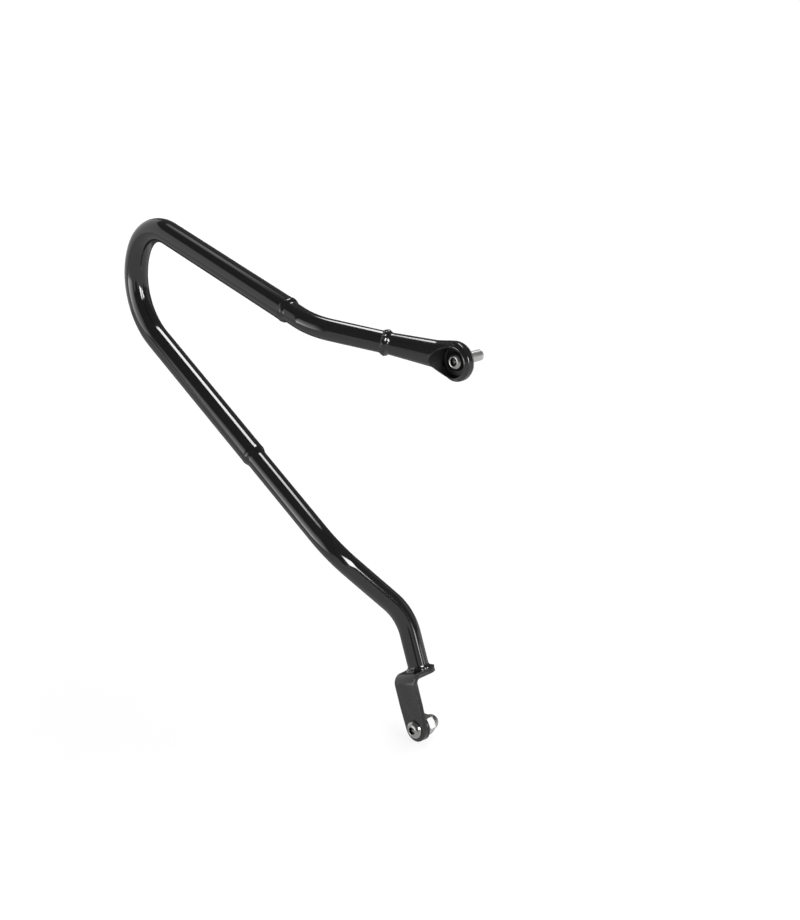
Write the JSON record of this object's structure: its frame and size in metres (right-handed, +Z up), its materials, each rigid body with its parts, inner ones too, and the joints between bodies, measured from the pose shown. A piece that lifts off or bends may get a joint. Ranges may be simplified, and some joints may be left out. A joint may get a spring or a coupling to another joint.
{
  "type": "pannier frame",
  "caption": "Bent steel tube hoop that carries a pannier beside a motorcycle's rear wheel, with a bolted upper end fitting and a folded lower bracket.",
  "frame": {"origin": "on the upper bolt's axis, at the washer face that meets the motorcycle", "axes": "+X to the front of the motorcycle, +Y towards its centre along the upper bolt, +Z up"},
  "size_m": [0.3776, 0.108, 0.4363],
  "materials": {
    "gloss_black": "gloss powder coat",
    "satin_black": "satin powder coat",
    "bright_steel": "bright zinc or stainless"
  },
  "bodies": {
    "root": {"hoop_tube": "gloss_black", "upper_arm_tube": "gloss_black", "lower_leg_tube": "gloss_black", "upper_shoulder_weld": "gloss_black", "lower_shoulder_weld": "gloss_black", "arm_weld_ring": "gloss_black", "foot_weld": "gloss_black", "upper_end_fitting": "satin_black", "lower_bracket": "satin_black", "bracket_boss": "satin_black", "upper_bolt": "bright_steel", "mounting_washer": "bright_steel", "lower_bolt": "bright_steel", "nut_washer": "bright_steel", "lower_nut": "bright_steel"}
  },
  "joints": []
}
